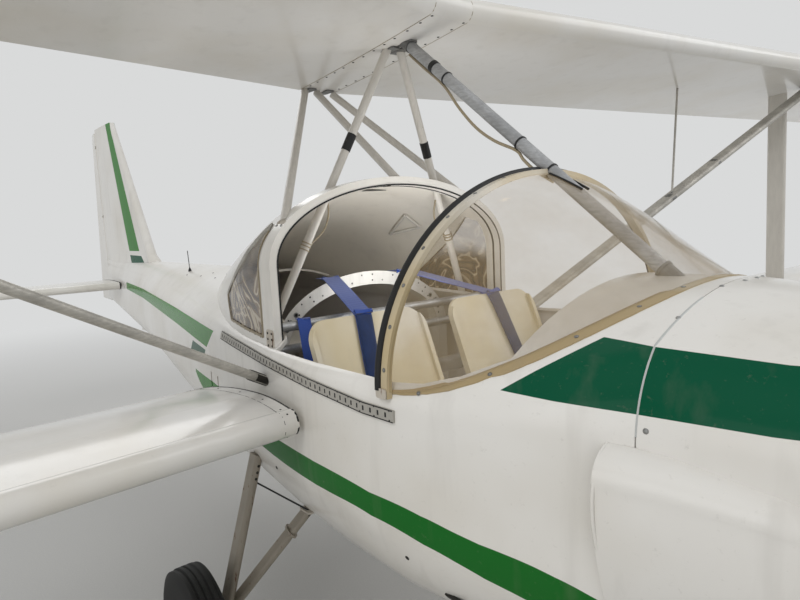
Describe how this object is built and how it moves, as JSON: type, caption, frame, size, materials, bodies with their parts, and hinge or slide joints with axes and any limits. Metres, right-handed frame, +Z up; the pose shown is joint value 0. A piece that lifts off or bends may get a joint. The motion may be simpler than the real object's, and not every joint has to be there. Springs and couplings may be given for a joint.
{
  "type": "microlight aircraft",
  "caption": "Two-seat strut-braced biplane microlight aircraft with an open cabin side, tricycle gear, turning wheels, propeller and control surfaces.",
  "frame": {"origin": "on the ground under the centre of the whole aircraft's box", "axes": "+X towards the nose, +Y to port, +Z up"},
  "size_m": [5.93, 9.4, 2.29],
  "materials": {
    "white_gelcoat": "gloss",
    "cream_gelcoat": "satin",
    "perspex": "gloss",
    "aluminium_tube": "satin",
    "painted_steel": "satin",
    "black_fitting": "matte",
    "engine_metal": "satin",
    "varnished_wood": "gloss",
    "tyre_rubber": "matte",
    "wheel_hub": "satin",
    "webbing": "matte"
  },
  "bodies": {
    "airframe": {"bay_strut_left": "painted_steel", "bay_strut_right": "painted_steel", "bulkhead": "cream_gelcoat", "cabane_front": "painted_steel", "cabane_rear": "painted_steel", "cabin_floor": "cream_gelcoat", "carry_through_tube": "aluminium_tube", "control_stick": "black_fitting", "cowling": "white_gelcoat", "cross_tubes": "aluminium_tube", "door_rails": "aluminium_tube", "engine_block": "engine_metal", "fin": "white_gelcoat", "firewall": "aluminium_tube", "fuselage_hull": "white_gelcoat", "harness_left": "webbing", "harness_right": "webbing", "instrument_panel": "black_fitting", "jury_struts": "aluminium_tube", "lift_strut_left": "aluminium_tube", "lift_strut_right": "aluminium_tube", "main_gear_leg_left": "painted_steel", "main_gear_leg_right": "painted_steel", "nose_leg": "painted_steel", "parcel_shelf": "cream_gelcoat", "quarter_windows": "perspex", "rear_arch": "white_gelcoat", "roof_shell": "white_gelcoat", "rudder_pedals": "aluminium_tube", "seat_left": "cream_gelcoat", "seat_right": "cream_gelcoat", "upper_wing_centre": "white_gelcoat", "upper_wing_left": "white_gelcoat", "upper_wing_right": "white_gelcoat", "ventral_fin": "white_gelcoat", "windshield": "perspex", "windshield_brace": "aluminium_tube", "windshield_flange": "cream_gelcoat", "windshield_hoop": "cream_gelcoat"},
    "propeller": {"propeller": "varnished_wood", "spinner": "white_gelcoat"},
    "nose_fork": {"nose_fork": "painted_steel"},
    "nose_wheel": {"nose_tyre": "tyre_rubber", "nose_hub": "wheel_hub"},
    "left_main_wheel": {"main_tyre_left": "tyre_rubber", "main_hub_left": "wheel_hub"},
    "right_main_wheel": {"main_tyre_right": "tyre_rubber", "main_hub_right": "wheel_hub"},
    "rudder": {"rudder": "white_gelcoat"},
    "elevator": {"tailplane_left": "white_gelcoat", "tailplane_right": "white_gelcoat", "tailplane_tube": "aluminium_tube"},
    "left_lower_wing": {"lower_wing_left": "white_gelcoat"},
    "right_lower_wing": {"lower_wing_right": "white_gelcoat"}
  },
  "joints": [
    {"name": "propeller_spin", "type": "hinge", "parent": "airframe", "child": "propeller", "pos_m": [2.8, 0, 1.05], "axis": [1, 0, 0], "continuous": true},
    {"name": "nose_wheel_steer", "type": "hinge", "parent": "airframe", "child": "nose_fork", "pos_m": [2.285, 0, 0.5], "axis": [0, 0, 1], "range_deg": [-25, 25]},
    {"name": "nose_wheel_spin", "type": "hinge", "parent": "nose_fork", "child": "nose_wheel", "pos_m": [2.285, 0, 0.165], "axis": [0, 1, 0], "continuous": true},
    {"name": "left_main_wheel_spin", "type": "hinge", "parent": "airframe", "child": "left_main_wheel", "pos_m": [0.82, 0.745, 0.2], "axis": [0, 1, 0], "continuous": true},
    {"name": "right_main_wheel_spin", "type": "hinge", "parent": "airframe", "child": "right_main_wheel", "pos_m": [0.82, -0.745, 0.2], "axis": [0, 1, 0], "continuous": true},
    {"name": "rudder_swing", "type": "hinge", "parent": "airframe", "child": "rudder", "pos_m": [-2.655, 0, 1.6], "axis": [0, 0, 1], "range_deg": [-25, 25]},
    {"name": "elevator_tilt", "type": "hinge", "parent": "airframe", "child": "elevator", "pos_m": [-2.127, 0, 1.112], "axis": [0, 1, 0], "range_deg": [-12, 12]},
    {"name": "left_wing_tilt", "type": "hinge", "parent": "airframe", "child": "left_lower_wing", "pos_m": [1.1042, 0.592, 0.94766], "axis": [0.1483, 0.9886, 0.0277], "range_deg": [-8, 8]},
    {"name": "right_wing_tilt", "type": "hinge", "parent": "airframe", "child": "right_lower_wing", "pos_m": [1.1042, -0.592, 0.94766], "axis": [0.1483, -0.9886, 0.0277], "range_deg": [-8, 8]}
  ],
  "couplings": [
    {"joint": "right_wing_tilt", "follows": "left_wing_tilt", "ratio": 1}
  ]
}
